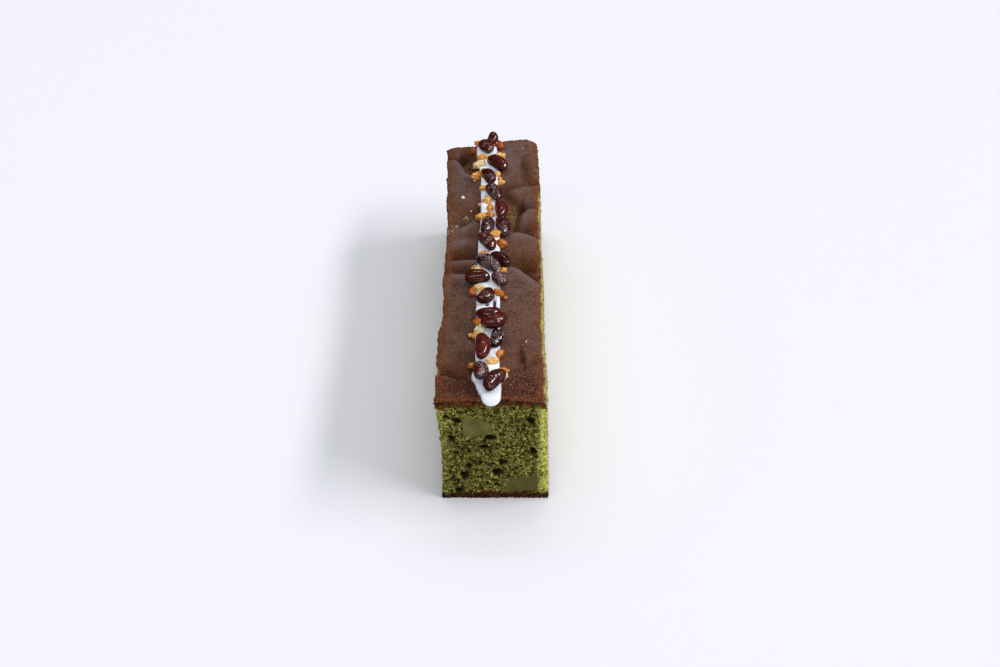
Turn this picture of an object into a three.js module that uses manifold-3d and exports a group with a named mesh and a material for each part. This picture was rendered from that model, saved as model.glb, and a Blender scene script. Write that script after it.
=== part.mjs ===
// A slim matcha pound cake: one cut loaf with a folded, browned top, two firm chunks that show in
// the cut, a stripe of white icing along the top with chopped nuts set in it, and candied red beans.
// Millimetres, +Z up, +Y along the loaf away from its cut front, origin under the middle of the base.
import * as THREE from 'three';
import { mergeVertices } from 'three/addons/utils/BufferGeometryUtils.js';
import Module from 'manifold-3d';

const wasm = await Module();
wasm.setup();

// Driving dimensions
const gap = 0.3; // air left between two pieces that touch
const loaf = {
  width: 44,
  height: 52, // at the long edges of the top
  length: 195,
  front: -97, // the cut front face; the loaf runs back from it
  lean: 0.9, // the base sits this far to the right, the top this far to the left
  crown: 0.9, // how far the middle of the top stands over its edges
  swell: 0.5, // how far the right side stands out at mid height
  hollow: 0.9, // and how far the left side stands in
  waist: 1.6, // behind its front quarter the top is narrower by this much, on the left
  overhang: 0.2, // and in front of that wider by this much
  edgeDrop: 0.5, // the crust rolls down this far at its long edges
  edgeRoll: 1.4,
  topSteps: 22,
  sideSteps: 3,
  alongSteps: 80,
  trim: 3, // baked past both ends, then cut off square
};
const back = loaf.front + loaf.length;

// The folds in the top crust. Each runs from left to right; near and far are its half widths on the
// side towards the cut front and on the side away from it.
const folds = [
  { from: [-24, 89], to: [-15, 86.5], depth: 3.6, near: 3.0, far: 3.4 },
  { from: [-15, 86.5], to: [-10.5, 73], depth: 3.8, near: 3.0, far: 4.6 },
  { from: [-10.5, 73], to: [-3, 65], depth: 3.0, near: 3.0, far: 4.0 },
  { from: [-24, 21.5], to: [-14, 27.5], depth: 2.8, near: 3.0, far: 7.0 },
  { from: [-14, 27.5], to: [-8, 34.5], depth: 2.6, near: 3.0, far: 6.0 },
  { from: [-24, 4.5], to: [-8, 3.3], depth: 3.3, near: 3.0, far: 6.2 },
  { from: [-24, -6.5], to: [-9, -8.5], depth: 2.6, near: 3.0, far: 4.4 },
  { from: [-24, -76.5], to: [-19, -78.5], depth: 2.2, near: 2.4, far: 3.8 },
  { from: [-19, -78.5], to: [-13, -82], depth: 1.6, near: 2.4, far: 3.6 },
  { from: [6, -77.5], to: [19, -70.5], depth: 0.9, near: 2.4, far: 3.2 },
  { from: [4, -2.5], to: [12, -4], depth: 3.6, near: 3.0, far: 8.0 },
  { from: [12, -4], to: [23, -15.5], depth: 4.0, near: 3.0, far: 8.0 },
  { from: [5, 21], to: [12, 23], depth: 3.0, near: 3.0, far: 6.0 },
  { from: [12, 23], to: [23, 19.5], depth: 2.8, near: 3.0, far: 6.5 },
  { from: [8, 23.5], to: [13.5, 42.5], depth: 2.6, near: 3.0, far: 3.0 },
  { from: [13.5, 42.5], to: [23, 43], depth: 2.4, near: 3.0, far: 5.0 },
  { from: [5, 54.5], to: [12.5, 40.5], depth: 2.4, near: 3.4, far: 3.2 },
  { from: [6, 58], to: [19, 63.5], depth: 2.0, near: 3.0, far: 3.6 },
  { from: [14, 79], to: [17, 65], depth: 1.8, near: 3.0, far: 2.8 },
  { from: [12.9, -74.5], to: [12.4, -61], depth: 1.4, near: 2.2, far: 2.8 },
];
// The back corners of the top: the left one sagged, the right one rose.
const corners = [
  { x: -22, y: 98, rise: -2.6, reach: 24 },
  { x: 20, y: 100, rise: 2.3, reach: 22 },
];

// The large holes in the cut face: place across and up the face, half width, half height.
const pores = [
  [-1.1, 32.5, 3.0, 1.7], [-3.6, 27.8, 3.0, 1.2], [-14.5, 41.6, 2.0, 1.6], [-18.4, 43.6, 1.6, 1.1],
  [-17.2, 32.5, 2.0, 1.4], [16.1, 25.5, 1.5, 2.4], [15.6, 41.6, 2, 1.9], [1.1, 14.1, 2.4, 2.0],
  [3.8, 19.1, 1.9, 1.9], [-12.3, 12.7, 2.2, 1.7], [-14.6, 4.4, 1.8, 1.2],
];
const poreDepth = 2.2;

// The chunks: outlines in the cut face, across and up.
const chunkDepth = 8;
const chunks = {
  chunk_upper: [[-12.1, 35.2], [-6, 35.1], [-0.6, 35], [0.6, 36.3], [-0.4, 39], [-4.7, 42.4], [-7.8, 43.6],
    [-10.1, 45.4], [-12.1, 42.8]],
  chunk_lower: [[3, 3.8], [11.8, 3.8], [17.7, 4.6], [18.2, 12], [11.7, 12], [7.6, 11.3], [4.5, 8.5]],
};

const icing = {
  front: -94.4, // the rounded ends reach on from here and from the back
  back: 92,
  halfWidth: 5,
  // the stripe's two edges: place along, place across
  left: [[-97, -4.9], [-94, -6], [-89, -7.2], [-84, -8.2], [-77, -7.2], [-31, -7.3], [7, -6.9], [37, -5.8],
    [61, -6.2], [92, -8]],
  right: [[-97, 3.6], [-88, 3.4], [-74, 2.6], [-34, 2.8], [8, 2.8], [37, 2.2], [61, 1.8], [92, 1.4]],
  rise: 2.7, // over the crust
  sunk: 2.6, // carried down into the crust, then cut to it
  round: 4.6, // reach of the rounded ends
  nod: 20, // degrees; the front end bows over the cut edge
  around: 12,
  along: 38,
};
// Two slits between the piped strands: place, length along the stripe, width.
const slits = [[-2.7, -35.6, 3.4, 1.0], [0.5, -35, 7, 0.9]];

const bean = {
  width: 6.6,
  thickness: 6.2,
  spread: 0.04, // how much sections vary from bean to bean
  blunt: 2.6, // 2 is an ellipsoid, more has blunter ends
  bend: 0.16,
  taper: 0.08,
  sink: 1.2, // how far a bean presses into the icing
  around: 12,
  along: 7,
  seed: 7,
};
// Beans in the order they were laid: place, turn of the long axis from +X, tilt of its nose, length,
// and girth against the usual one.
const beanPlaces = [
  { x: 0.5, y: -90.2, turn: 234, tilt: 0, length: 12.4, girth: 1 },
  { x: -5.2, y: -84.2, turn: 96, tilt: -18, length: 11.6, girth: 1 },
  { x: 1.2, y: -61.8, turn: 77, tilt: 0, length: 10.6, girth: 0.84 },
  { x: -4.4, y: -69.4, turn: 89, tilt: 6, length: 13.6, girth: 0.98 },
  { x: -1.9, y: -47.2, turn: 4, tilt: 0, length: 10.8, girth: 0.95 },
  { x: 0.4, y: -53.8, turn: 24, tilt: 0, length: 11.4, girth: 1 },
  { x: -3.3, y: -33.4, turn: 58, tilt: -8, length: 9.8, girth: 0.95 },
  { x: -6.9, y: -19.3, turn: 185, tilt: 0, length: 11, girth: 0.98 },
  { x: 2.8, y: -21, turn: 112, tilt: -14, length: 10, girth: 0.92 },
  { x: -2.2, y: -8.9, turn: 134, tilt: 0, length: 12.6, girth: 0.96 },
  { x: 3.1, y: -3.7, turn: 140, tilt: 0, length: 10.8, girth: 0.84 },
  { x: -2.7, y: 7.6, turn: 117, tilt: 0, length: 12.4, girth: 0.95 },
  { x: -3, y: 19.4, turn: 82, tilt: 0, length: 11.4, girth: 0.92 },
  { x: 4.2, y: 21.2, turn: 98, tilt: 0, length: 13.6, girth: 1 },
  { x: 3.3, y: 33.6, turn: 95, tilt: 0, length: 11.6, girth: 0.9 },
  { x: 0.3, y: 47.2, turn: 117, tilt: 0, length: 11.8, girth: 0.97 },
  { x: -2.3, y: 60.8, turn: 110, tilt: 0, length: 10.4, girth: 0.88 },
  { x: 2, y: 73.8, turn: 133, tilt: 0, length: 12.4, girth: 0.97 },
  { x: -3.6, y: 87.6, turn: 119, tilt: -8, length: 10.2, girth: 0.93 },
  { x: -1, y: 95.6, turn: 64, tilt: 24, length: 8, girth: 0.74 },
];

const nut = {
  size: 2.1,
  flat: 0.72,
  jitter: 0.34,
  lift: 0.9, // middle of a nut over the crust
  perch: 0.2, // and over the icing
  seed: 21,
};
// Chopped nuts: place, size against the usual one, and turn.
const nutPlaces = [
  [-8, -76.8, 1.0, 20], [2.9, -69.4, 1.05, 70], [-0.4, -75.6, 1.1, 35], [4.2, -79.6, 0.95, 150],
  [4.7, -81.6, 0.8, 80], [-6.3, -50.2, 1.0, 100], [-7.3, -57, 0.9, 30], [-4.9, -55.2, 1.2, 75],
  [-8.3, -26, 1.1, 60], [-5.6, -24.8, 1.2, 10], [2.4, -28, 1.25, 130], [-7.7, -6.6, 0.95, 45],
  [-6.5, -11.6, 1.0, 0], [4, -10.6, 0.9, 95], [-4.4, 0.2, 1.0, 15], [0.7, 15.2, 1.05, 65],
  [3.2, 9.4, 1.1, 5], [-6, 29.8, 1.15, 40], [-1.7, 36.2, 1.05, 85], [-1.3, 30.8, 1.0, 120],
  [-3.4, 43, 0.9, 25], [-5, 53, 0.95, 55], [3.1, 60.2, 0.95, 15], [1.2, 66.2, 1.0, 70],
  [-8.3, 65.2, 0.95, 10], [-6.2, 66.6, 1.1, 50], [-5.2, 70, 0.9, 95], [-7, 75.6, 1.2, 30],
  [-5.4, 80.6, 1.1, 5], [-10.2, 92, 0.95, 60], [2.6, 82.2, 1.1, 25], [3.0, 92.6, 1.1, 110],
  [-7.6, 95, 0.85, 20],
];

const looks = {
  crumb: { color: 0x93913c, roughness: 0.9, metalness: 0 },
  chunk: { color: 0x585531, roughness: 0.6, metalness: 0 },
  icing: { color: 0xf0eef4, roughness: 0.35, metalness: 0 },
  bean: { color: 0x4a1c18, roughness: 0.25, metalness: 0 },
};

// Small tools
const bell = (t) => Math.exp(-t * t);

function ease(from, to, value) {
  const t = THREE.MathUtils.clamp((value - from) / (to - from), 0, 1);
  return t * t * (3 - 2 * t);
}

// A repeatable draw between -1 and 1.
function drawFrom(seed) {
  let state = seed;
  return () => {
    state = (state * 16807) % 2147483647;
    return (2 * state) / 2147483647 - 1;
  };
}

function eachPoint(geometry, move) {
  const position = geometry.getAttribute('position');
  const point = new THREE.Vector3();
  for (let i = 0; i < position.count; i++) {
    move(point.fromBufferAttribute(position, i));
    position.setXYZ(i, point.x, point.y, point.z);
  }
  return geometry;
}

// One closed skin with shared vertices, ready to be joined or cut.
function weld(geometry) {
  const bare = geometry.clone();
  bare.deleteAttribute('normal');
  bare.deleteAttribute('uv');
  return mergeVertices(bare, 1e-4);
}

function toSolid(geometry) {
  const skin = weld(geometry);
  return new wasm.Manifold(
    new wasm.Mesh({
      numProp: 3,
      vertProperties: new Float32Array(skin.getAttribute('position').array),
      triVerts: new Uint32Array(skin.index.array),
    }),
  );
}

function toGeometry(solid) {
  const mesh = solid.getMesh();
  const geometry = new THREE.BufferGeometry();
  geometry.setAttribute('position', new THREE.BufferAttribute(mesh.vertProperties, 3));
  geometry.setIndex(new THREE.BufferAttribute(mesh.triVerts, 1));
  geometry.computeVertexNormals();
  return geometry;
}

function outlineShape(points) {
  return new THREE.Shape(points.map(([across, up]) => new THREE.Vector2(across, up)));
}

// A section drawn across and up, carried back along +Y from startY.
function carryBack(shape, startY, length, steps) {
  const geometry = new THREE.ExtrudeGeometry(shape, { depth: length, steps, bevelEnabled: false });
  return geometry.rotateX(Math.PI / 2).translate(0, startY + length, 0);
}

function named(name, geometry, look) {
  const mesh = new THREE.Mesh(geometry, new THREE.MeshStandardMaterial(look));
  mesh.name = name;
  return mesh;
}

// How far one fold pulls the crust down at a place.
function foldDrop(fold, x, y) {
  const start = new THREE.Vector2(...fold.from);
  const run = new THREE.Vector2(...fold.to).sub(start);
  const reach = new THREE.Vector2(x, y).sub(start);
  const along = THREE.MathUtils.clamp(reach.dot(run) / run.lengthSq(), 0, 1);
  const behind = run.cross(reach) > 0;
  const distance = reach.addScaledVector(run, -along).length();
  return fold.depth * bell(distance / (behind ? fold.far : fold.near));
}

// Height of the crust over the base.
function crustHeight(x, y) {
  const across = (2 * x) / loaf.width;
  const toEdge = loaf.width / 2 - Math.abs(x);
  const roll = loaf.edgeDrop * bell(Math.max(toEdge, 0) / loaf.edgeRoll);
  const lift = corners.reduce((sum, c) => sum + c.rise * bell(Math.hypot(x - c.x, y - c.y) / c.reach), 0);
  const waves = 0.35 * Math.sin(0.11 * y + 0.6) * Math.cos(0.13 * x) + 0.25 * Math.sin(0.23 * y - 0.2 * x);
  const creases = folds.reduce((sum, fold) => sum + foldDrop(fold, x, y), 0);
  return loaf.height + loaf.crown * (1 - across * across) - roll + lift + waves - creases;
}

// How far a side wanders in or out.
const sideWave = (y, z) => 0.3 * Math.sin(0.09 * y + 0.05 * z) + 0.2 * Math.sin(0.31 * y - 0.12 * z);

// How far the left edge of the top stands in.
const leftEdge = (y) => loaf.waist * ease(-52, -38, y) * (1 - ease(55, back, y)) - loaf.overhang;

// How far a side is off its straight line, at a share of the height.
const sideBow = (most, share) => most * 4 * share * (1 - share);

// The section of the loaf: a flat base, bowed sides and a crowned top.
function loafSection() {
  const half = loaf.width / 2;
  const points = [];
  for (let i = 0; i <= loaf.sideSteps; i++) {
    const t = i / loaf.sideSteps;
    points.push([half + sideBow(loaf.swell, t), loaf.height * t]);
  }
  for (let i = 1; i <= loaf.topSteps; i++) {
    const t = 1 - (2 * i) / loaf.topSteps;
    points.push([half * t, loaf.height + loaf.crown * (1 - t * t)]);
  }
  for (let i = loaf.sideSteps - 1; i >= 0; i--) {
    const t = i / loaf.sideSteps;
    points.push([-half + sideBow(loaf.hollow, t), loaf.height * t]);
  }
  return outlineShape(points);
}

// The baked loaf, with its crust folded, before the knife squares its ends.
function bakedLoaf() {
  const geometry = carryBack(
    loafSection(),
    loaf.front - loaf.trim,
    loaf.length + 2 * loaf.trim,
    loaf.alongSteps,
  );
  return eachPoint(geometry, (p) => {
    const share = Math.min(p.z / loaf.height, 1);
    const across = p.x - sideBow(p.x > 0 ? loaf.swell : loaf.hollow, share);
    const onTop = p.z > loaf.height - 0.01;
    if (onTop) p.z = crustHeight(p.x, p.y);
    if (Math.abs(across) > loaf.width / 2 - 0.01) p.x += Math.sign(p.x) * sideWave(p.y, p.z) * share;
    if (across < 0.01 - loaf.width / 2) p.x += leftEdge(p.y) * share;
    p.x += loaf.lean * (1 - 2 * share);
  });
}

function knifeBlock(fromY, toY) {
  const block = new THREE.BoxGeometry(2 * loaf.width, toY - fromY, 3 * loaf.height);
  return toSolid(block.translate(0, (fromY + toY) / 2, loaf.height));
}

function poreSolid([across, up, halfWidth, halfHeight]) {
  const hollow = new THREE.SphereGeometry(1, 9, 6);
  return toSolid(hollow.scale(halfWidth, poreDepth, halfHeight).translate(across, loaf.front, up));
}

// A chunk fills its outline and narrows a little into the crumb.
function chunkGeometry(outline, grow) {
  const middle = outline.reduce((sum, [a, b]) => sum.add(new THREE.Vector2(a, b)), new THREE.Vector2());
  middle.divideScalar(outline.length);
  const start = loaf.front - (grow ? 1 : 0);
  const geometry = carryBack(outlineShape(outline), start, loaf.front + chunkDepth + grow - start, 1);
  return eachPoint(geometry, (p) => {
    const inward = p.y > loaf.front + 1 ? 0.8 : 1;
    const arm = new THREE.Vector2(p.x, p.z).sub(middle);
    arm.setLength(arm.length() * inward + 1.6 * grow);
    p.x = middle.x + arm.x;
    p.z = middle.y + arm.y;
  });
}

function cutLoaf() {
  let solid = toSolid(bakedLoaf());
  const beyond = 4 * loaf.trim;
  solid = solid.subtract(knifeBlock(loaf.front - beyond, loaf.front));
  solid = solid.subtract(knifeBlock(back, back + beyond));
  for (const pore of pores) solid = solid.subtract(poreSolid(pore));
  for (const outline of Object.values(chunks)) solid = solid.subtract(toSolid(chunkGeometry(outline, gap)));
  return solid;
}

// A smooth line through places along the stripe.
function edgeAt(places, y) {
  let next = 1;
  while (next < places.length - 1 && y > places[next][0]) next += 1;
  const [fromY, fromX] = places[next - 1];
  const [toY, toX] = places[next];
  return THREE.MathUtils.lerp(fromX, toX, ease(fromY, toY, y));
}

const icingHalf = (y) => (edgeAt(icing.right, y) - edgeAt(icing.left, y)) / 2;
const icingMiddle = (y) => (edgeAt(icing.right, y) + edgeAt(icing.left, y)) / 2;

// The icing stripe as a round-ended bead along the top; a part of its rise gives a flatter bead.
function icingBead(part) {
  const section = new THREE.Shape().absellipse(0, 0, 1, 1, 0, 2 * Math.PI);
  const ring = section.getSpacedPoints(icing.around).slice(0, -1).map((p) => [p.x, p.y]);
  const geometry = carryBack(outlineShape(ring), icing.front, icing.back - icing.front, icing.along);
  const stretch = (p) => {
    p.x = icingMiddle(p.y) + p.x * icingHalf(p.y);
    p.z = crustHeight(icingMiddle(p.y), p.y) + p.z * (p.z > 0 ? icing.rise * part : icing.sunk);
  };
  let solid = toSolid(eachPoint(geometry, stretch));
  for (const [y, nod] of [[icing.front, icing.nod], [icing.back, 0]]) {
    const end = new THREE.SphereGeometry(1, icing.around, 8);
    end.scale(icingHalf(y), icing.round, icing.rise * part).rotateX(THREE.MathUtils.degToRad(nod));
    solid = solid.add(toSolid(end.translate(icingMiddle(y), y, crustHeight(icingMiddle(y), y))));
  }
  return solid;
}

function slitSolid([x, y, length, width]) {
  const slot = new THREE.BoxGeometry(width, length, 20);
  return toSolid(slot.translate(x, y, loaf.height + 8));
}

// Keeps the hanging tip clear of the cut face.
function faceClearance() {
  const top = crustHeight(icingMiddle(loaf.front), loaf.front) + gap;
  const block = new THREE.BoxGeometry(loaf.width, 2 * gap, loaf.height);
  return toSolid(block.translate(0, loaf.front, top - loaf.height / 2));
}

// A bean: a blunt-ended ellipsoid, bent to one side and a little thicker at one end.
function beanGeometry(size, grow, around = bean.around, along = bean.along) {
  const geometry = new THREE.SphereGeometry(1, around, along).rotateZ(-Math.PI / 2);
  return eachPoint(geometry, (p) => {
    const u = p.x;
    const round = Math.max(1 - u * u, 1e-6);
    const fill = Math.sqrt(Math.max(1 - Math.abs(u) ** bean.blunt, 0) / round) * (1 + bean.taper * u);
    const bow = bean.bend * bean.width * (u * u - 0.35);
    p.x = u * (size.length / 2 + grow);
    p.y = p.y * fill * (size.width / 2 + grow) + bow;
    p.z = p.z * fill * (size.thickness / 2 + grow);
  });
}

// Lays the beans one after another, each lowered until it meets the bed or a bean laid before it.
function layBeans(bed) {
  const draw = drawFrom(bean.seed);
  const laid = [];
  return beanPlaces.map((place, index) => {
    const size = {
      length: place.length,
      width: bean.width * place.girth * (1 + bean.spread * draw()),
      thickness: bean.thickness * place.girth * (1 + bean.spread * draw()),
    };
    const mesh = named(`bean_${String(index + 1).padStart(2, '0')}`, weld(beanGeometry(size, 0)), looks.bean);
    mesh.rotation.set(0, THREE.MathUtils.degToRad(-place.tilt), THREE.MathUtils.degToRad(place.turn), 'ZYX');
    const grown = beanGeometry(size, gap);
    const near = laid.filter((other) => Math.hypot(other.x - place.x, other.y - place.y) < 2.5 * bean.width);
    const obstacles = [bed, ...near.map((other) => other.solid)];
    const placed = (z) => {
      mesh.position.set(place.x, place.y, z);
      mesh.updateMatrix();
      return toSolid(grown.clone().applyMatrix4(mesh.matrix));
    };
    const clear = (z) => obstacles.every((other) => other.intersect(placed(z)).volume() < 1e-3);
    let height = loaf.height + 25;
    for (const step of [4, 1, 0.25]) while (clear(height - step)) height -= step;
    placed(height);
    laid.push({ ...place, solid: toSolid(mesh.geometry.clone().applyMatrix4(mesh.matrix)) });
    const socket = toSolid(beanGeometry(size, 2 * gap, 9, 6).applyMatrix4(mesh.matrix));
    return { mesh, socket };
  });
}

// Height of the icing's surface; off the stripe it is nowhere.
function icingTop(x, y) {
  const reach = (x - icingMiddle(y)) / icingHalf(y);
  if (Math.abs(reach) >= 1) return 0;
  return crustHeight(icingMiddle(y), y) + icing.rise * Math.sqrt(1 - reach * reach);
}

// A chopped nut: an icosahedron with its corners pushed about.
function nutSolid([x, y, scale, turn], draw) {
  const geometry = weld(new THREE.IcosahedronGeometry(nut.size * scale, 0));
  eachPoint(geometry, (p) => p.multiplyScalar(1 + nut.jitter * draw()));
  geometry.scale(1.15, 1, nut.flat).rotateZ(THREE.MathUtils.degToRad(turn));
  const onStripe = bell((x - icingMiddle(y)) / icing.halfWidth);
  const height = crustHeight(x, y) + nut.lift + icing.rise * 0.75 * onStripe;
  return toSolid(geometry.translate(x, y, Math.max(height, icingTop(x, y) + nut.perch)));
}

// The icing with its nuts, cut to the crust below and to the beans that press into it.
function icingWithNuts(crust, beans) {
  const draw = drawFrom(nut.seed);
  let solid = icingBead(1);
  for (const slit of slits) solid = solid.subtract(slitSolid(slit));
  for (const place of nutPlaces) solid = solid.add(nutSolid(place, draw));
  solid = solid.subtract(crust.translate(0, 0, gap)).subtract(faceClearance());
  for (const { socket } of beans) solid = solid.subtract(socket);
  const largest = (a, b) => (a.volume() > b.volume() ? a : b);
  return solid.decompose().reduce(largest);
}

const crust = cutLoaf();
const bed = crust.add(icingBead(1 - bean.sink / icing.rise));
const beans = layBeans(bed);

const cake = new THREE.Group();
cake.add(named('loaf', toGeometry(crust), looks.crumb));
for (const [name, outline] of Object.entries(chunks)) {
  cake.add(named(name, weld(chunkGeometry(outline, 0)), looks.chunk));
}
cake.add(named('icing_with_nuts', toGeometry(icingWithNuts(crust, beans)), looks.icing));
for (const { mesh } of beans) cake.add(mesh);

export default cake;
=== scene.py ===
# A slim green-tea pound cake with a cut front: loaf, two chunks, icing stripe, chopped nuts, beans.
# Shapes are worked in millimetres in the frame's own axes and scaled to metres as each piece is done.
import random
from math import cos, exp, hypot, pi, radians, sin, sqrt
from types import SimpleNamespace

import bmesh
import bpy
from mathutils import Matrix, Vector, noise


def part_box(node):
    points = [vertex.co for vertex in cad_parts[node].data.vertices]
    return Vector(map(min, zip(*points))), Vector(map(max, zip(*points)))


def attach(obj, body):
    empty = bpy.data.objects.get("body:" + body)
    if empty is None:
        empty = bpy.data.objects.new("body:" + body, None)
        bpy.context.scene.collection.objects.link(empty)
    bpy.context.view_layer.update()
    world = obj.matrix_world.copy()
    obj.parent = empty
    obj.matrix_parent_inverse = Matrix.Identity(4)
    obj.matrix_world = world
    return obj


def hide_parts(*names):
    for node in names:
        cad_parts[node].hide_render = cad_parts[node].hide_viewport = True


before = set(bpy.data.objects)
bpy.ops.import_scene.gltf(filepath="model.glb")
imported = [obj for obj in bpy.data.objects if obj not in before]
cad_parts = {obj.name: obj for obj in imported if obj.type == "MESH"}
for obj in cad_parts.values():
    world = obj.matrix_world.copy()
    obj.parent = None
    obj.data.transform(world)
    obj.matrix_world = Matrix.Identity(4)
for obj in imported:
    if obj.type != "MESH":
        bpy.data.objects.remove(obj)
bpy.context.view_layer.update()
mm = 0.001
noise.seed_set(5)  # the same crumb each time


# Small tools
def bell(t):  # 1 at 0, close to nothing past 2
    return exp(-t * t)


def ease(low, high, value):  # a smooth rise from 0 at low to 1 at high
    t = min(max((value - low) / (high - low), 0), 1)
    return t * t * (3 - 2 * t)


def blend(first, second, share):
    return first + (second - first) * share


def rough(x, y, z, size):  # smooth noise with bumps of this size
    return noise.noise(Vector((x, y, z)) / size)


def patchAt(patch, x, y):  # 1 in the middle of a patch, 0 off it
    middleX, middleY, reachX, reachY = patch
    return bell(hypot((x - middleX) / reachX, (y - middleY) / reachY))


def tint(red, green, blue):  # a screen colour, 0 to 255, as the shader's linear one
    parts = [c / 255 for c in (red, green, blue)]
    return tuple(((c + 0.055) / 1.055) ** 2.4 if c > 0.04 else c / 12.92 for c in parts) + (1,)


def palette(colours):
    return SimpleNamespace(**{name: tint(*parts) for name, parts in colours.items()})


def cutBlock(bm, cuts):  # a block's edges cut across, along and up
    for axis, count in enumerate(cuts):
        edges = [e for e in bm.edges if abs(e.verts[0].co[axis] - e.verts[1].co[axis]) > 0.5]
        bmesh.ops.subdivide_edges(bm, edges=edges, cuts=count, use_grid_fill=True)


def shadeSmooth(bm):
    for face in bm.faces:
        face.smooth = True


def finishPiece(name, bm, material, nodes):
    bmesh.ops.scale(bm, vec=(mm, mm, mm), verts=bm.verts)
    mesh = bpy.data.meshes.new(name)
    bm.to_mesh(mesh)
    bm.free()
    mesh.materials.append(material)
    piece = bpy.data.objects.new(name, mesh)
    bpy.context.scene.collection.objects.link(piece)
    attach(piece, "root")
    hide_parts(*nodes)
    mesh.calc_loop_triangles()
    print(name, "done,", len(mesh.loop_triangles), "triangles")
    return piece


# Shader tools: a Value is a socket that takes part in sums, a Finish is one material
class Value:
    def __init__(self, finish, socket):
        self.finish = finish
        self.socket = socket

    def reckon(self, operation, first, second):
        return self.finish.node("ShaderNodeMath", {"operation": operation}, {0: first, 1: second})

    def __add__(self, other):
        return self.reckon("ADD", self, other)

    def __radd__(self, other):
        return self.reckon("ADD", other, self)

    def __sub__(self, other):
        return self.reckon("SUBTRACT", self, other)

    def __rsub__(self, other):
        return self.reckon("SUBTRACT", other, self)

    def __mul__(self, other):
        return self.reckon("MULTIPLY", self, other)

    def __rmul__(self, other):
        return self.reckon("MULTIPLY", other, self)


class Finish:
    def __init__(self, name):
        self.material = bpy.data.materials.new(name)
        self.material.use_nodes = True
        self.tree = self.material.node_tree
        self.tree.nodes.clear()
        self.place = self.node("ShaderNodeTexCoord", out="Object")

    def node(self, kind, settings=None, sockets=None, out=0):
        made = self.tree.nodes.new(kind)
        for key, value in (settings or {}).items():
            if key == "stops":
                elements = made.color_ramp.elements
                while len(elements) < len(value):
                    elements.new(1)
                for element, (position, colour) in zip(elements, value):
                    element.position = position
                    element.color = colour
            else:
                setattr(made, key, value)
        for key, value in (sockets or {}).items():
            if isinstance(value, Value):
                self.tree.links.new(value.socket, made.inputs[key])
            else:
                made.inputs[key].default_value = value
        return Value(self, made.outputs[out]) if made.outputs else None

    def painted(self, *names):  # values stored on the mesh
        marks = {n: self.node("ShaderNodeAttribute", {"attribute_name": n}, out="Fac") for n in names}
        return SimpleNamespace(**marks)

    def axis(self, name):
        return self.node("ShaderNodeSeparateXYZ", None, {0: self.place}, name)

    def grain(self, size, detail=2, stretch=None):  # noise with features of this many millimetres
        place = self.place
        if stretch:
            place = self.node("ShaderNodeVectorMath", {"operation": "DIVIDE"}, {0: place, 1: stretch})
        sockets = {"Vector": place, "Scale": 1 / (size * mm), "Detail": detail}
        return self.node("ShaderNodeTexNoise", None, sockets)

    def step(self, value, low, high):
        sockets = {"Value": value, "From Min": low, "From Max": high}
        return self.node("ShaderNodeMapRange", {"interpolation_type": "SMOOTHSTEP"}, sockets)

    def ramp(self, value, stops):
        return self.node("ShaderNodeValToRGB", {"stops": stops}, {"Fac": value})

    def mix(self, share, first, second):
        settings = {"data_type": "RGBA", "clamp_factor": True}
        return self.node("ShaderNodeMix", settings, {0: share, 6: first, 7: second}, 2)

    def bump(self, height, strength, distance):
        sockets = {"Height": height, "Strength": strength, "Distance": distance * mm}
        return self.node("ShaderNodeBump", None, sockets)

    def surface(self, sockets):
        shader = self.node("ShaderNodeBsdfPrincipled", None, sockets)
        self.node("ShaderNodeOutputMaterial", None, {"Surface": shader})
        return self.material


# Camera, light and floor
studio = {
    "camera": (2.46, -600.57, 479.12),
    "lookDown": 37.927,
    "yaw": -0.036,
    "lens": 60,
    "sensor": 36,
    "sky": (0.87, 0.915, 1.0, 1),
    "skyLevel": 0.26,
    "windowDistance": 20,  # metres, as the windows and the floor are
    # long windows: strength, length, height, aim, colour
    "windows": {
        "right": (1.68, 16, 3, (-0.72, 0.10, -0.68), (1, 0.985, 0.985)),
        "front": (0.26, 14, 1, (0.1, 0.64, -0.76), (1, 0.99, 0.98)),
        "back": (0.14, 9, 0.5, (-0.1, -0.52, -0.85), (1, 1, 1)),
    },
    # an even light from above that gloss does not show: strength, degrees across, aim, colour
    "overhead": (1.1, 80, (0.02, -0.2, -0.97), (0.93, 0.955, 1)),
    "floorSize": 9,
    "floorColour": (250, 249, 254),
}


def setCamera():
    scene = bpy.context.scene
    scene.view_settings.view_transform = "Standard"
    lens = bpy.data.cameras.new("camera")
    lens.lens = studio["lens"]
    lens.sensor_width = studio["sensor"]
    lens.clip_end = 50  # metres, past the far edge of the floor
    camera = bpy.data.objects.new("camera", lens)
    camera.location = Vector(studio["camera"]) * mm
    camera.rotation_euler = (radians(90 - studio["lookDown"]), 0, radians(studio["yaw"]))
    scene.collection.objects.link(camera)
    scene.camera = camera
    print("camera set")


def addLamp(name, kind, aim, colour):
    lamp = bpy.data.objects.new(name, bpy.data.lights.new(name, kind))
    lamp.data.color = colour
    lamp.rotation_euler = Vector(aim).to_track_quat("-Z", "Y").to_euler()
    bpy.context.scene.collection.objects.link(lamp)
    return lamp


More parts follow.
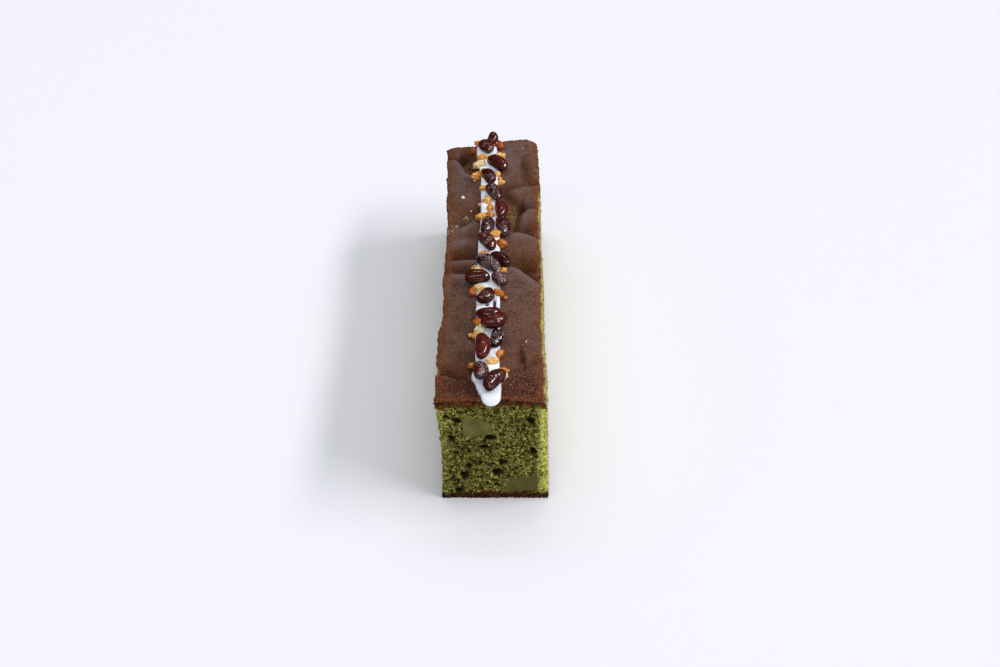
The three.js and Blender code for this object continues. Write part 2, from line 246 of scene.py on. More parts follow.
def setLights():
    world = bpy.data.worlds.new("soft_sky")
    world.use_nodes = True
    sky = world.node_tree.nodes["Background"]
    sky.inputs["Color"].default_value = studio["sky"]
    sky.inputs["Strength"].default_value = studio["skyLevel"]
    world.cycles_visibility.glossy = False  # gloss shows the windows alone
    bpy.context.scene.world = world
    distance = studio["windowDistance"]
    for name, (level, length, height, aim, colour) in studio["windows"].items():
        window = addLamp(name, "AREA", aim, colour)
        window.location = Vector(aim).normalized() * -distance
        window.data.shape = "RECTANGLE"
        window.data.size = length
        window.data.size_y = height
        window.data.energy = level * pi * distance ** 2
    level, spread, aim, colour = studio["overhead"]
    overhead = addLamp("overhead", "SUN", aim, colour)
    overhead.data.energy = level
    overhead.data.angle = radians(spread)
    overhead.visible_glossy = False
    print("lights set")


def setFloor():
    bm = bmesh.new()
    bmesh.ops.create_grid(bm, x_segments=1, y_segments=1, size=studio["floorSize"])
    mesh = bpy.data.meshes.new("floor")
    bm.to_mesh(mesh)
    bm.free()
    finish = Finish("pale_floor")
    mesh.materials.append(finish.surface({"Base Color": tint(*studio["floorColour"]), "Roughness": 0.9}))
    floor = bpy.data.objects.new("floor", mesh)
    floor.visible_glossy = False  # keeps its white out of the beans' gloss
    bpy.context.scene.collection.objects.link(floor)
    print("floor set")


# The loaf
loaf = {
    "width": 44,
    "height": 52,
    "length": 195,
    "front": -97,
    "lean": 0.9,  # base to the right, top to the left
    "crown": 0.9,
    "swell": 0.2,  # how far the right side stands out at mid height, under its loose crumbs
    "hollow": 0.9,  # how far the left side stands in there
    "waist": 1.6,  # behind its front quarter the top is narrower by this much, on the left
    "waistStart": (-52, -38),
    "waistFade": 55,
    "overhang": 0.2,
    "edgeDrop": 0.5,
    "edgeRoll": 1.4,
    "cornerDrop": 1.3,
    "cornerRoll": 2.6,
    "corners": ((-22, 98, -2.6, 24), (20, 100, 2.3, 22)),  # sunk and risen corner: place, rise, reach
    "cuts": (69, 169, 79),
    "hair": 0.01,  # closer than this to a face of the block is on it
    "crustThick": 1.3,
    "baseThick": 2.3,
    "rimSides": 5,  # width of the browned rim of the top
    "rimEnds": 4.5,
    "trimEnd": 62,  # the right edge is trimmed from the front to here
    "trimFade": 14,
    "trimFront": 0.6,  # width of bare crumb that shows on top of it
    "trimBack": 0.25,
    # folds of the crust: from, to, depth, half width on the near side and the far side, how torn it is
    "folds": [
        (-24, 90, -15, 87.5, 3.4, 1.9, 3.4, 0.2),
        (-15, 87.5, -10.5, 74, 3.8, 1.9, 4.6, 0.7),
        (-10.5, 74, -3, 66, 3.0, 1.9, 4.0, 0.2),
        (-24, 22, -14, 28, 2.8, 1.9, 7.0, 0.9),
        (-14, 28, -8, 35, 2.6, 1.9, 6.0, 0.7),
        (-24, 3.2, -8, 2, 3.4, 1.9, 6.5, 0.25),
        (-24, -7, -9, -8.6, 2.6, 1.9, 4.4, 0.1),
        (-24, -76.5, -19, -78.5, 2.4, 1.2, 3.6, 0.5),
        (-19, -78.5, -13, -82, 1.7, 1.0, 3.4, 0.2),
        (6, -77.5, 13, -75, 1.0, 1.3, 3.2, 0),
        (13, -75, 19, -70.5, 0.9, 1.3, 2.6, 0),
        (13.2, -90.8, 16.4, -91.4, 0.9, 0.6, 0.6, 0),
        (4, -2.5, 12, -4, 3.6, 1.9, 8.0, 0),
        (12, -4, 23, -15.5, 4.0, 1.9, 8.0, 0),
        (5, 21, 12, 23.5, 3.0, 1.9, 6.0, 0),
        (12, 23.5, 23, 20, 2.8, 1.9, 6.5, 0),
        (8, 24, 13.5, 43.5, 2.6, 1.9, 3.0, 0.3),
        (13.5, 43.5, 23, 43.5, 2.4, 1.9, 5.0, 0),
        (5, 55, 12.5, 41, 2.4, 2.4, 3.2, 0.3),
        (6, 58.5, 19, 64, 2.0, 1.9, 3.6, 0),
        (14, 79, 17, 65, 1.8, 2.2, 2.8, 0),
        (12.9, -74.5, 13.4, -69, 1.5, 0.7, 1.7, 0.6),
        (13.4, -69, 12.2, -65, 1.6, 0.7, 1.8, 0.6),
        (12.2, -65, 12.8, -59, 0.9, 0.7, 1.8, 0.3),
    ],
    # a soft ridge on a plate, painted with a crest highlight along it: from, to, half width, rise
    "ridges": [
        (-22, 12.6, -10, 13.6, 2.4, 0.5),
    ],
    # patches: place, reach across, reach along
    "tornPatches": [  # the skin is torn and the crumb shows
        (9.4, 37, 3.6, 13),
        (-11, 80, 2.2, 6),
        (-22, -78, 1.6, 3),
    ],
    "flakePatches": [  # the skin has cracked into pale flakes
        (-20, 27.5, 3.0, 3.0),
        (-16, 30.5, 3.2, 2.6),
        (-11.5, 36, 2.6, 2.4),
    ],
    "missingBit": (-22.4, -75.2, 1.4, 2.6),  # of the crust's edge
    "missingDepth": 0.9,
    # holes in the cut face: across, up, half width, half height
    "pores": [
        (-1.1, 32.5, 3.0, 1.7), (-3.6, 27.8, 3.0, 1.2), (-14.5, 41.6, 2.0, 1.6), (-18.4, 43.6, 1.6, 1.1),
        (-17.2, 32.5, 2.0, 1.4), (16.1, 25.5, 1.5, 2.4), (15.6, 41.6, 2.0, 1.9), (1.1, 14.1, 2.4, 2.0),
        (3.8, 19.1, 1.9, 1.9), (-12.3, 12.7, 2.2, 1.7), (-14.6, 4.4, 1.8, 1.2), (-5.7, 19.3, 1.0, 0.8),
        (-1.5, 18.5, 1.3, 0.9), (-10.2, 17.7, 1.4, 1.2), (0.7, 7.3, 1.0, 1.1), (-16.1, 9.6, 1.8, 0.7),
    ],
    "colours": {
        "lumpDark": (92, 87, 33), "lump": (132, 126, 52), "lumpLight": (226, 219, 120),
        # the colours for holes, here and below, are painted shade in the crumb's holes and pits
        "lumpGreen": (112, 122, 46), "lumpShade": (70, 68, 22), "hole": (34, 29, 3),
        "denseDark": (158, 155, 48), "denseLight": (255, 254, 138), "denseHole": (138, 133, 32),
        "plateFront": (108, 77, 64), "plateRear": (115, 91, 85),
        "mottleFront": (96, 64, 44), "mottleRear": (108, 81, 68), "mottleDark": (73, 46, 32),
        "stripLight": (87, 40, 20), "stripDark": (60, 23, 7),
        # the light wrinkle colour is painted glints on the skin
        "wrinkleLight": (147, 108, 90), "wrinkleDark": (42, 20, 12),
        # slope colours: the orange-brown crust behind a fold, darkened as painted shade
        "slopeDark": (82, 42, 12), "slopeLight": (118, 68, 25),
        # crest colour: a painted highlight along the folds' crests
        "crest": (126, 103, 101), "leftShade": (40, 18, 8),
        # groove colours: painted shade in the folds' grooves
        "grooveDark": (40, 16, 4), "grooveLight": (72, 36, 12),
        # the light rim colour is painted glints on the browned rim
        "rim": (112, 54, 16), "rimLight": (186, 128, 84), "rimDark": (52, 22, 8),
        "tearDark": (58, 34, 16), "tear": (100, 66, 36), "tearLight": (150, 112, 72),
        "tearHole": (46, 28, 12), "flakeDark": (150, 108, 76), "flakeLight": (204, 178, 148),
        "edgeGreen": (120, 110, 42), "edgeGold": (122, 90, 32), "edgeRust": (128, 68, 20),
        "edgeBrown": (92, 46, 18), "edgeDark": (50, 25, 10), "edgeHole": (38, 22, 4),
        "toastDark": (36, 23, 11), "toastLight": (104, 72, 32),
        "fringeDark": (122, 96, 44), "fringeLight": (222, 204, 138),
    },
    # how a fold is made, mostly in shares of its half width
    "folding": {
        "reach": 4.5,  # nothing changes further off than this
        "deep": 3,  # a fold this deep gets the full colour of a fold: its painted groove shade and slope shade
        "groove": 0.9,
        "slope": 2.2,
        "tear": 0.8,
        "tearNear": 1.2,
        "lipAt": 2.2,  # the lip on the near side: place, width, rise
        "lipWidth": 1.1,
        "lipRise": 0.1,
        "ripple": 0.05,
    },
    # relief of the crumb
    "crumb": {
        "poreDepth": 2.2,
        "lump": 0.8,  # size of the lumps and depth of the gaps between them
        "gap": 0.7,
        "dome": 0.45,
        "crooked": 0.4,
        "wide": 1.25,  # lumps and holes are a little flattened
        "high": 0.85,
        "bubbles": ((2.0, 0.9), (1.1, 0.7)),  # cell size and how deep its holes go
        "ragged": 0.16,
        "raggedSize": 0.8,
        "patchSize": 2.4,  # browning, pale bands and edges waver over this length
        "sideDepth": 0.35,  # share of the relief that the long sides keep
        "sideUneven": 0.45,
        "edgeCrumbs": 0.9,  # how ragged the trimmed side and its top edge are
        "edgeCrumbSize": 1.7,
        "paleRight": 3.6,  # dense pale bands along the edges of the cut; the right one is stronger, painted light as from the right shining through the thin edge
        "paleLeft": 3.0,
        "paleSides": 0.3,
        "recess": 1.2,  # the crumb stands back under a chunk
    },
}
folding, crumb = loaf["folding"], loaf["crumb"]
loafMarks = ("crust", "pit", "lightness", "pale", "trimmed", "fringe",
             "torn", "slope", "groove", "crest", "rim", "flake")


def lineAt(line, x, y):  # distance to a line, and whether the place is behind it
    fromX, fromY, toX, toY = line[:4]
    runX, runY = toX - fromX, toY - fromY
    along = ((x - fromX) * runX + (y - fromY) * runY) / (runX * runX + runY * runY)
    along = min(max(along, 0), 1)
    away = hypot(x - fromX - along * runX, y - fromY - along * runY)
    return away, runX * (y - fromY) - runY * (x - fromX) > 0


def plainTop(x, y):  # height of the top before it folds
    half, back = loaf["width"] / 2, loaf["front"] + loaf["length"]
    inward = half - abs(x)
    height = loaf["height"] + loaf["crown"] * (1 - (x / half) ** 2)
    height -= loaf["edgeDrop"] * bell(max(inward, 0) / loaf["edgeRoll"])
    height -= loaf["cornerDrop"] * bell(hypot(inward, back - y) / loaf["cornerRoll"])
    for cornerX, cornerY, rise, reach in loaf["corners"]:
        height += rise * bell(hypot(x - cornerX, y - cornerY) / reach)
    longWave = 0.35 * sin(0.11 * y + 0.6) * cos(0.13 * x)
    shortWave = 0.25 * sin(0.23 * y - 0.2 * x)
    return height + longWave + shortWave


def crustAt(x, y):  # height of the crust, then how far it is a slope (orange-brown, with painted shade), a groove (painted shade), a crest (painted highlight) or a tear
    height = plainTop(x, y)
    slope = groove = crest = torn = 0
    for fold in loaf["folds"]:
        away, behind = lineAt(fold, x, y)
        depth, near, far, ripped = fold[4:]
        width = far if behind else near
        if away > folding["reach"] * width:
            continue
        height -= depth * bell(away / width)
        strength = min(depth / folding["deep"], 1)
        # painted shade in the groove
        groove = max(groove, strength * bell(away / (folding["groove"] * width)))
        if behind:
            # the slope behind the fold: orange-brown, with painted shade
            slope = max(slope, strength * bell(away / (folding["slope"] * width)))
            torn = max(torn, ripped * bell(away / (folding["tear"] * width)))
        else:
            lip = bell((away - folding["lipAt"] * near) / (folding["lipWidth"] * near))
            ripple = folding["ripple"] * sin(2.4 * away) * exp(-away / 4)
            height += depth * (folding["lipRise"] * lip + ripple)
            # painted highlight on the lip's crest
            crest = max(crest, ease(1.4, 3.2, depth) * lip)
            torn = max(torn, ripped * bell(away / folding["tearNear"]))
    for ridge in loaf["ridges"]:
        width, rise = ridge[4:]
        lit = bell(lineAt(ridge, x, y)[0] / width)
        height += rise * lit
        # painted highlight along the ridge
        crest = max(crest, 0.8 * lit)
        groove *= 1 - 0.8 * lit
        slope *= 1 - 0.8 * lit
    torn = max([torn] + [patchAt(patch, x, y) for patch in loaf["tornPatches"]])
    return height, slope, groove, crest, torn


def crustHeight(x, y):
    return crustAt(x, y)[0]


def cellDraw(centre):  # one value for a whole cell, unlike its neighbours'
    return noise.noise(centre * 9.7)


def crumbAt(point):  # how deep under the cut, how far down the side of a lump, how light the lump is
    squat = Vector((point.x / crumb["wide"], point.y / crumb["wide"], point.z / crumb["high"]))
    bent = squat + crumb["crooked"] * noise.noise_vector(squat / 0.9)
    distances, centres = noise.voronoi(bent / crumb["lump"])
    gap = 1 - ease(0.02, 0.26, distances[1] - distances[0])
    loose = ease(-0.35, 0.25, noise.noise(point / 2.2))
    depth = crumb["gap"] * gap * (0.5 + 0.5 * loose)
    lightness = 0.5 + 0.7 * cellDraw(centres[0])
    dome = crumb["dome"] * distances[0]
    for size, deep in crumb["bubbles"]:
        distances, centres = noise.voronoi(bent / size)
        radius = 0.05 + 0.5 * (0.5 + 0.5 * cellDraw(centres[0]))
        depth = max(depth, deep * max(1 - (distances[0] / radius) ** 2, 0))
    return depth, dome, lightness


def sideCrumb(point):  # shallow hollows for the long sides; their finer holes are only painted in the finish, as dark spots of painted shade
    hollow = ease(0.2, 0.6, noise.noise(point / 3.2))
    return 0.3 * hollow, 0, 0.45 + 0.18 * noise.noise(point / 5)


def poreAt(x, z):  # 1 inside a hole of the cut face
    deepest = 0
    for poreX, poreZ, halfWide, halfHigh in loaf["pores"]:
        away = hypot((x - poreX) / halfWide, (z - poreZ) / halfHigh)
        if away < 1.9:
            away += 0.3 * rough(x, 3.1, z, 1.1) + 0.25 * rough(x, 8.3, z, 2.3)
            deepest = max(deepest, 1 - ease(0.45, 1.35, away))
    return deepest


def paleAt(x, share, patchy):  # dense pale bands at the two edges of a cut end; the right band is painted brighter, as light from the right shining through the thin edge
    half = loaf["width"] / 2
    waver = 1.2 * patchy
    right = 1 - ease(crumb["paleRight"] - 2.4, crumb["paleRight"] + 2, half - x + waver)
    left = 1 - ease(crumb["paleLeft"] - 2, crumb["paleLeft"] + 2, half + x + waver)
    return max(right, left * blend(0.1, 0.4, share))


def sideShift(x, y, z):  # how far the loaf's form moves a point of the block across
    half, back = loaf["width"] / 2, loaf["front"] + loaf["length"]
    share, side = z / loaf["height"], x / half
    bow = loaf["swell"] if x > 0 else loaf["hollow"]
    shift = bow * 4 * share * (1 - share) * ease(0.4, 1, abs(side))
    wander = 0.3 * sin(0.09 * y + 0.05 * z) + 0.2 * sin(0.31 * y - 0.12 * z)
    shift += wander * share * side ** 7
    if x < 0:
        narrower = loaf["waist"] * ease(*loaf["waistStart"], y) * (1 - ease(loaf["waistFade"], back, y))
        shift += (narrower - loaf["overhang"]) * share * ease(0.5, 1, -side)
    shift += loaf["missingDepth"] * patchAt(loaf["missingBit"], x, y) * share ** 9
    return shift + loaf["lean"] * (1 - 2 * share)


def loafBlock():  # a closed block, finest where the crumb and crust show
    bm = bmesh.new()
    bmesh.ops.create_cube(bm, size=1)
    bmesh.ops.scale(bm, vec=(loaf["width"], loaf["length"], loaf["height"]), verts=bm.verts)
    middle = (0, loaf["front"] + loaf["length"] / 2, loaf["height"] / 2)
    bmesh.ops.translate(bm, vec=middle, verts=bm.verts)
    cutBlock(bm, loaf["cuts"])
    bm.normal_update()
    ends = [e for e in bm.edges if any(abs(f.normal.y) > 0.9 for f in e.link_faces)]
    bmesh.ops.subdivide_edges(bm, edges=ends, cuts=1, use_grid_fill=True)
    bm.normal_update()
    top = [e for e in bm.edges if any(f.normal.z > 0.9 for f in e.link_faces)]
    along = [e for e in top if abs(e.verts[0].co.y - e.verts[1].co.y) > 0.5]
    bmesh.ops.subdivide_edges(bm, edges=along, cuts=1, use_grid_fill=True)
    bm.normal_update()
    base = [f for f in bm.faces if f.normal.z < -0.9]
    bmesh.ops.dissolve_faces(bm, faces=base)
    return bm


def loafPoint(x, y, z):  # where a point of the block goes, and what is painted there
    half, high, front, hair = loaf["width"] / 2, loaf["height"], loaf["front"], loaf["hair"]
    back = front + loaf["length"]
    onTop, onFront, onBack = z > high - hair, y < front + hair, y > back - hair
    onEnd = onFront or onBack
    onEdge = abs(x) > half - hair
    onSide = onEdge and not onEnd
    share, side = z / high, x / half
    ragged, patchy = rough(x, y, z, crumb["raggedSize"]), rough(x, y, z, crumb["patchSize"])
    crust, slope, groove, crest, torn = crustAt(x, y)
    place = Vector((x + sideShift(x, y, z), y, z + (crust - high) * ease(0.7, 1, share)))
    down = crust - place.z  # depth under the crust
    untrimmed = ease(loaf["trimEnd"] - loaf["trimFade"], loaf["trimEnd"], y)

    # browning from the top and from the base, and the colour of the crumb
    baked = 1 - ease(0.2, 3.8 * loaf["crustThick"], down + 0.9 * ragged + 2.4 * patchy)
    thick = loaf["baseThick"]
    scorched = 1 - ease(0.3 * thick, 1.9 * thick, z + 1.5 * ragged + 2.2 * patchy)
    pale = fringe = 0
    if onEnd:
        pale = paleAt(x, share, patchy)
        place.x += side ** 15 * (0.5 * ragged + 0.7 * patchy)
    elif onSide:
        pale = crumb["paleSides"]
        if x > 0:  # the right side is trimmed, its crust is gone
            baked = min(baked, untrimmed)
            fringe = ease(3, 0.5, down + 2 * patchy) * (1 - untrimmed)
    baked = max(baked, scorched)

    # relief of the crumb
    depth, dome, lightness = sideCrumb(place) if onSide else crumbAt(place)
    pit = depth * (1 - 0.3 * pale) * (1 - 0.4 * baked)
    pore = poreAt(x, z) if onFront else 0
    push = max(pit, crumb["poreDepth"] * pore) + dome + crumb["ragged"] * ragged
    # pores are darkened as well: painted shade
    pit = max(pit, 0.66 * pore)
    if onFront and underChunk(x, place.z):
        push += crumb["recess"]
    if onEnd:
        place.y += push if onFront else -push
    if onEdge:
        outward = 1 if x > 0 else -1
        crumbly = crumb["edgeCrumbs"] * rough(x, y, z, crumb["edgeCrumbSize"])
        crumbly *= blend(0.5, 1, share) if x > 0 else 0.35 * share ** 6
        uneven = crumb["sideUneven"] * patchy * share
        place.x += outward * (uneven + crumbly - crumb["sideDepth"] * (pit + 0.8 * ragged))

    # skin of the top
    marks = {"lightness": lightness, "pale": pale, "trimmed": 1 if onSide else 0}
    if onTop:
        pit = 0.5 * depth * torn
        baked = 1
        rim = max(ease(loaf["rimSides"], 0, half - abs(x) + 1.2 * patchy),
                  ease(loaf["rimEnds"], 0, min(y - front, back - y) + 1.2 * patchy))
        flake = max(patchAt(patch, x, y) for patch in loaf["flakePatches"])
        skin = 0.14 * rough(x, y, 0, 2.4) + 0.07 * rough(0.4 * x, y, 5, 0.8)
        place.z += skin - 0.8 * pit + 0.2 * flake * ragged + rim * (0.4 * ragged + 0.3 * patchy)
        trim = blend(loaf["trimFront"], loaf["trimBack"], ease(-50, 30, y)) - untrimmed
        fringe = max(ease(trim + 0.35, trim - 0.35, half - x + 0.5 * patchy + 0.4 * ragged),
                     ease(0.35, 0.7, patchAt(loaf["missingBit"], x, y) + 0.3 * ragged))
        marks.update(torn=torn, slope=slope, groove=groove, crest=crest, rim=rim, flake=flake)
    marks.update(crust=baked, pit=min(pit, 1), fringe=fringe)
    if z < hair:
        place.z = 0
    return place, marks


def shapeLoaf():
    bm = loafBlock()
    layers = {name: bm.verts.layers.float.new(name) for name in loafMarks}
    for vert in bm.verts:
        vert.co, marks = loafPoint(*vert.co)
        for name, mark in marks.items():
            vert[layers[name]] = mark
    for face in bm.faces:
        face.smooth = len(face.verts) < 12  # all but the flat base
    bmesh.ops.recalc_face_normals(bm, faces=bm.faces)
    return bm


def crumbLook(f, hue, mark, grain, deep):
    speck = grain.speck - 0.5
    stops = [(0.05, hue.lumpDark), (0.5, hue.lump), (0.95, hue.lumpLight)]
    lumps = f.ramp(mark.lightness + speck * 1.3, stops)
    lumps = f.mix(f.step(grain.mid, 0.5, 0.75) * 0.5, lumps, hue.lumpGreen)
    lumps = f.mix(f.step(grain.broad, 0.42, 0.7) * 0.3, lumps, hue.lumpShade)
    # dense pale crumb; its brightness at the right edge is partly painted light
    dense = f.ramp(mark.lightness + speck * 1.4, [(0.15, hue.denseDark), (0.62, hue.denseLight)])
    # holes darkened with painted shade
    return f.mix(mark.pale, f.mix(deep, lumps, hue.hole), f.mix(deep, dense, hue.denseHole))


def skinLook(f, hue, mark, grain, forward):
    fine, speck, mid, broad, wrinkle = grain.fine, grain.speck, grain.mid, grain.broad, grain.wrinkle
    rear = f.step(f.axis("Y") + (broad - 0.5) * 0.04, -0.05, 0.01)
    plates = f.mix(rear, hue.plateFront, hue.plateRear)
    skin = f.mix(f.step(broad, 0.4, 0.7), plates, f.mix(rear, hue.mottleFront, hue.mottleRear))
    skin = f.mix(f.step(mid, 0.44, 0.7) * 0.5, skin, hue.mottleDark)
    skin = f.mix(forward * 0.85, skin, f.mix(f.step(mid, 0.4, 0.65), hue.stripLight, hue.stripDark))
    coarse = 0.62 + forward * 0.15
    # painted glints: light flecks on the wrinkled skin, more on the front strip
    skin = f.mix(f.step(wrinkle, 0.52, 0.68) * coarse, skin, hue.wrinkleLight)
    skin = f.mix(f.step(wrinkle, 0.48, 0.32) * coarse, skin, hue.wrinkleDark)
    # slopes behind folds: orange-brown, with painted shade
    slope = f.mix(f.step(fine, 0.3, 0.7), hue.slopeDark, hue.slopeLight)
    skin = f.mix(mark.slope * 0.9, skin, slope)
    # painted highlight on the crests
    skin = f.mix(mark.crest * 0.6, skin, hue.crest)
    # painted shade: the left half of the top is darkened, away from the light
    skin = f.mix(f.step(f.axis("X"), -0.004, -0.012) * 0.14, skin, hue.leftShade)
    # painted shade in the grooves
    groove = f.mix(f.step(fine, 0.35, 0.65), hue.grooveDark, hue.grooveLight)
    skin = f.mix(mark.groove * 0.9, skin, groove)
    skin = f.mix(mark.rim * f.step(mid + (fine - 0.5) * 0.8, 0.3, 0.55) * 0.85, skin, hue.rim)
    # painted glints: light specks on the browned rim
    skin = f.mix(mark.rim * f.step(speck, 0.52, 0.66) * 0.6, skin, hue.rimLight)
    skin = f.mix(mark.rim * f.step(speck, 0.46, 0.34) * 0.6, skin, hue.rimDark)
    tear = f.ramp(speck * 0.5 + fine * 0.5, [
        (0.35, hue.tearDark), (0.5, hue.tear), (0.65, hue.tearLight)])
    # pits of the torn crust darkened with painted shade
    tear = f.mix(f.step(mark.pit, 0.1, 0.5), tear, hue.tearHole)
    skin = f.mix(f.step(mark.torn + (fine - 0.5) * 0.7, 0.35, 0.75), skin, tear)
    flaked = f.step(mark.flake * 0.6 + (fine - 0.5) * 0.9 + (speck - 0.5) * 0.6, 0.42, 0.62)
    return f.mix(flaked * 0.45, skin, f.mix(f.step(speck, 0.4, 0.6), hue.flakeDark, hue.flakeLight))


def edgeLook(f, hue, mark, grain, deep):  # the crust where the cut and the sides go through it
    edge = f.ramp(mark.crust + (grain.fine - 0.5) * 0.5, [
        (0.1, hue.edgeGreen), (0.4, hue.edgeGold), (0.7, hue.edgeRust), (0.95, hue.edgeBrown)])
    edge = f.mix(f.step(grain.mid, 0.5, 0.6) * f.step(mark.crust, 0.4, 0.7) * 0.8, edge, hue.edgeDark)
    toasted = f.mix(f.step(grain.speck, 0.5, 0.64), hue.toastDark, hue.toastLight)
    edge = f.mix(f.step(f.axis("Z"), 0.0042, 0.0016) * 0.95, edge, toasted)
    # holes darkened with painted shade
    return f.mix(deep, edge, hue.edgeHole)


def loafFinish():
    f = Finish("crumb_and_crust")
    hue, mark = palette(loaf["colours"]), f.painted(*loafMarks)
    fine, speck, mid, broad = f.grain(1.0, 3), f.grain(0.5, 2), f.grain(3.2, 3), f.grain(11, 2)
    wrinkle = f.grain(0.55, 3, (1.7, 1, 1))
    grain = SimpleNamespace(fine=fine, speck=speck, mid=mid, broad=broad, wrinkle=wrinkle)
    # painted shade of small holes on the trimmed sides, which the mesh does not have
    holeShadeSpots = f.step(fine + (speck - 0.5) * 0.5, 0.46, 0.3) * 0.5 + f.step(mid, 0.36, 0.24) * 0.3
    # pits, pores and those spots darkened: painted shade in the holes
    deep = f.step(mark.pit + mark.trimmed * holeShadeSpots, 0.08, 0.6)
    forward = f.step(f.axis("Y") + (mid - 0.5) * 0.02, -0.07, -0.088)  # the strip at the cut is darker
    edge = edgeLook(f, hue, mark, grain, deep)
    baked = f.mix(f.step(mark.crust, 0.93, 1), edge, skinLook(f, hue, mark, grain, forward))
    colour = f.mix(f.step(mark.crust, 0.1, 0.3), crumbLook(f, hue, mark, grain, deep), baked)
    colour = f.mix(mark.fringe, colour, f.ramp(speck, [(0.35, hue.fringeDark), (0.65, hue.fringeLight)]))
    browned = f.step(mark.crust, 0.8, 1)
    relief = wrinkle * (0.3 + forward * 0.4 + mark.rim * 0.3) + speck * (0.5 - browned * 0.35)
    return f.surface({
        "Base Color": colour,
        "Roughness": 0.92 - browned * 0.44,
        "Normal": f.bump(relief + fine * 0.2, 0.7, 0.4),
        "Specular IOR Level": 0.2,
    })


# The chunks in the cut
chunks = {
    # outlines in the cut face: across, up
    "outlines": {
        "chunk_upper": ((-12.1, 35.2), (-6, 35.1), (-0.6, 35), (0.6, 36.3), (-0.4, 39), (-4.7, 42.4),
                        (-7.8, 43.6), (-10.1, 45.4), (-12.1, 42.8)),
        "chunk_lower": ((3, 3.8), (11.8, 3.8), (17.7, 4.6), (18.2, 12), (11.7, 12), (7.6, 11.3),
                        (4.5, 8.5)),
    },
    "inset": 0.88,  # the crumb stands back inside this much of an outline
    "bevel": 0.3,
    "longest": 0.8,  # edges longer than this are cut
    "uneven": 0.12,
    "bumps": 1.8,
    "grow": 0.25,
    "back": 0.3,
    "colours": {
        "pale": (122, 117, 60), "olive": (100, 95, 43), "fleck": (136, 130, 68), "low": (84, 78, 34),
    },
}


def insideOutline(x, z, outline):
    inside = False
    for (ax, az), (bx, bz) in zip(outline, outline[1:] + outline[:1]):
        if (az > z) != (bz > z) and x < ax + (z - az) * (bx - ax) / (bz - az):
            inside = not inside
    return inside


def underChunk(x, z):  # inside a chunk's outline, a little in from its edge
    for outline in chunks["outlines"].values():
        middleX = sum(p[0] for p in outline) / len(outline)
        middleZ = sum(p[1] for p in outline) / len(outline)
        awayX, awayZ = (x - middleX) / chunks["inset"], (z - middleZ) / chunks["inset"]
        if insideOutline(middleX + awayX, middleZ + awayZ, outline):
            return True
    return False


def copyNode(name):  # a node's mesh in millimetres, merged
    bm = bmesh.new()
    bm.from_mesh(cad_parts[name].data)
    bmesh.ops.scale(bm, vec=(1 / mm, 1 / mm, 1 / mm), verts=bm.verts)
    bmesh.ops.remove_doubles(bm, verts=bm.verts, dist=0.001)
    return bm


def shapeChunk(name):
    bm = copyNode(name)
    bmesh.ops.dissolve_limit(bm, angle_limit=radians(2), verts=bm.verts, edges=bm.edges)
    bmesh.ops.bevel(bm, geom=bm.edges, offset=chunks["bevel"], affect="EDGES", segments=2, profile=0.5,
                    material=-1)
    bmesh.ops.triangulate(bm, faces=bm.faces)
    for _ in range(3):
        longEdges = [e for e in bm.edges if e.calc_length() > chunks["longest"]]
        bmesh.ops.subdivide_edges(bm, edges=longEdges, cuts=1, use_grid_fill=True)
        bmesh.ops.triangulate(bm, faces=bm.faces)
    bm.normal_update()
    for vert in bm.verts:
        outward = Vector((vert.normal.x, 0, vert.normal.z))
        uneven = chunks["uneven"] * rough(*vert.co, chunks["bumps"])
        vert.co += outward * chunks["grow"] + vert.normal * uneven
        vert.co.y += chunks["back"]
    shadeSmooth(bm)
    return bm


def chunkFinish():
    f = Finish("firm_bean_paste")
    hue = palette(chunks["colours"])
    cloud, fine = f.grain(4, 2), f.grain(0.7, 2)
    colour = f.mix(f.step(cloud, 0.3, 0.7), hue.pale, hue.olive)
    colour = f.mix(f.step(fine, 0.55, 0.8) * 0.35, colour, hue.fleck)
    colour = f.mix(f.step(f.axis("Z"), 0.03, 0.005) * 0.5, colour, hue.low)
    return f.surface({
        "Base Color": colour,
        "Roughness": 0.55,
        "Normal": f.bump(fine, 0.3, 0.2),
        "Specular IOR Level": 0.2,
        "Subsurface Weight": 0.15,
        "Subsurface Radius": (1, 0.9, 0.4),
        "Subsurface Scale": 1.5 * mm,
    })


# The icing stripe
icing = {
    "front": -95.2,
    "back": 92,
    # the stripe's two edges: place along, place across
    "left": ((-98, -3.2), (-95.2, -4.7), (-92, -5.9), (-88, -6.9), (-83, -8.7), (-77, -7.2), (-31, -7.3),
             (7, -6.9), (37, -5.8), (61, -6.2), (92, -8.4)),
    "right": ((-98, 2.8), (-95.2, 3.2), (-88, 3.4), (-74, 2.6), (-34, 2.8), (8, 2.8), (37, 2.2),
              (61, 1.8), (92, 1.4)),
    "waver": 0.35,
    "waverSize": 5,
    "rise": 2.6,
    "flat": 0.28,  # 1 is a round bead, less is flatter on top
    "sunk": 0.9,
    "round": 4.2,  # length of the rounded front end, and of the back end
    "roundBack": 4.6,
    "tip": 0.35,  # how much of a rounded end is closed by the flat cap of the block
    "nod": 12,  # degrees that the front end hangs down
    "cuts": (27, 239, 5),
    "slits": [(-2.7, -35.6, 3.4, 1.1), (0.5, -35, 7, 1.0)],  # place, length, width
    "slitDepth": 4.5,
    "colours": {
        # the glow colour is a faint painted light; the slit colour is crust brown darkened as painted
        # shade
        "cool": (246, 248, 255), "white": (251, 252, 255), "slit": (64, 38, 28), "glow": (218, 224, 255),
    },
}


def edgeAt(points, y):  # smooth line through places along the stripe
    for (fromY, fromX), (toY, toX) in zip(points, points[1:]):
        if y <= toY:
            return blend(fromX, toX, ease(fromY, toY, y))
    return points[-1][1]


def icingMiddle(y):
    return (edgeAt(icing["left"], y) + edgeAt(icing["right"], y)) / 2


